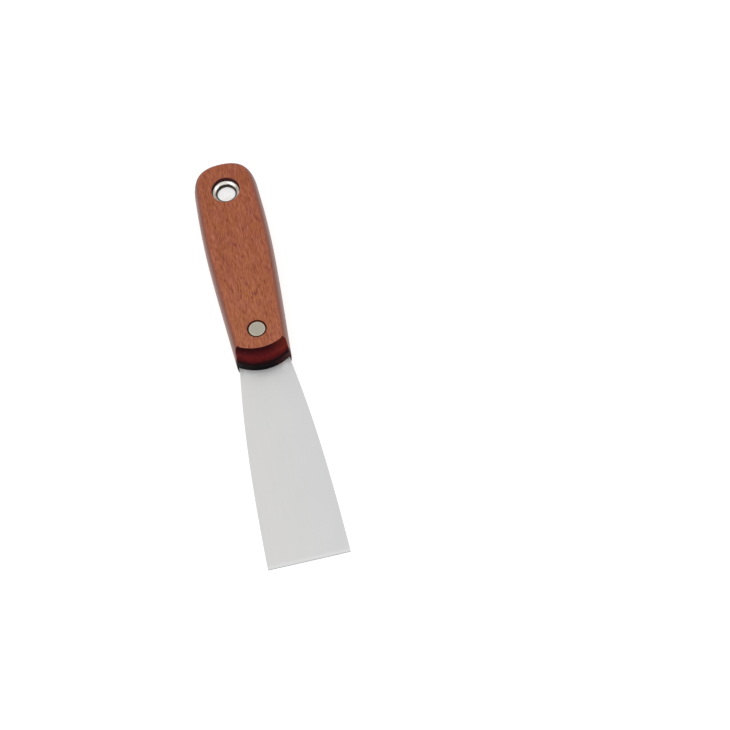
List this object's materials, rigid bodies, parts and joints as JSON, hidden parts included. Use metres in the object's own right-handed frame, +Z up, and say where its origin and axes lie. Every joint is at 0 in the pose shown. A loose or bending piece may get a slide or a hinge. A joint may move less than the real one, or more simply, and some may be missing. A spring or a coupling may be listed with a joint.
{
  "type": "putty knife",
  "caption": "Flexible putty knife: flared spring-steel blade in a riveted two-scale hardwood handle with a hang hole.",
  "frame": {"origin": "on the lower flat face of the handle, under the middle of the handle's length", "axes": "+X across the blade, +Y along the knife from the blade tip to the hang end, +Z up out of the handle's upper flat face"},
  "size_m": [0.04, 0.224, 0.0168],
  "materials": {
    "spring_steel": "fine satin, polished along its length",
    "lacquered_wood": "clear gloss lacquer over reddish-brown hardwood, dark red and black enamel on the coved front",
    "rivet_steel": "satin, sanded, just below the face of the wood",
    "plated_eyelet": "bright plating"
  },
  "bodies": {
    "root": {"blade": "spring_steel", "upper_scale": "lacquered_wood", "lower_scale": "lacquered_wood", "rivet_male": "rivet_steel", "rivet_female": "rivet_steel", "eyelet": "plated_eyelet", "eyelet_washer": "plated_eyelet"}
  },
  "joints": []
}
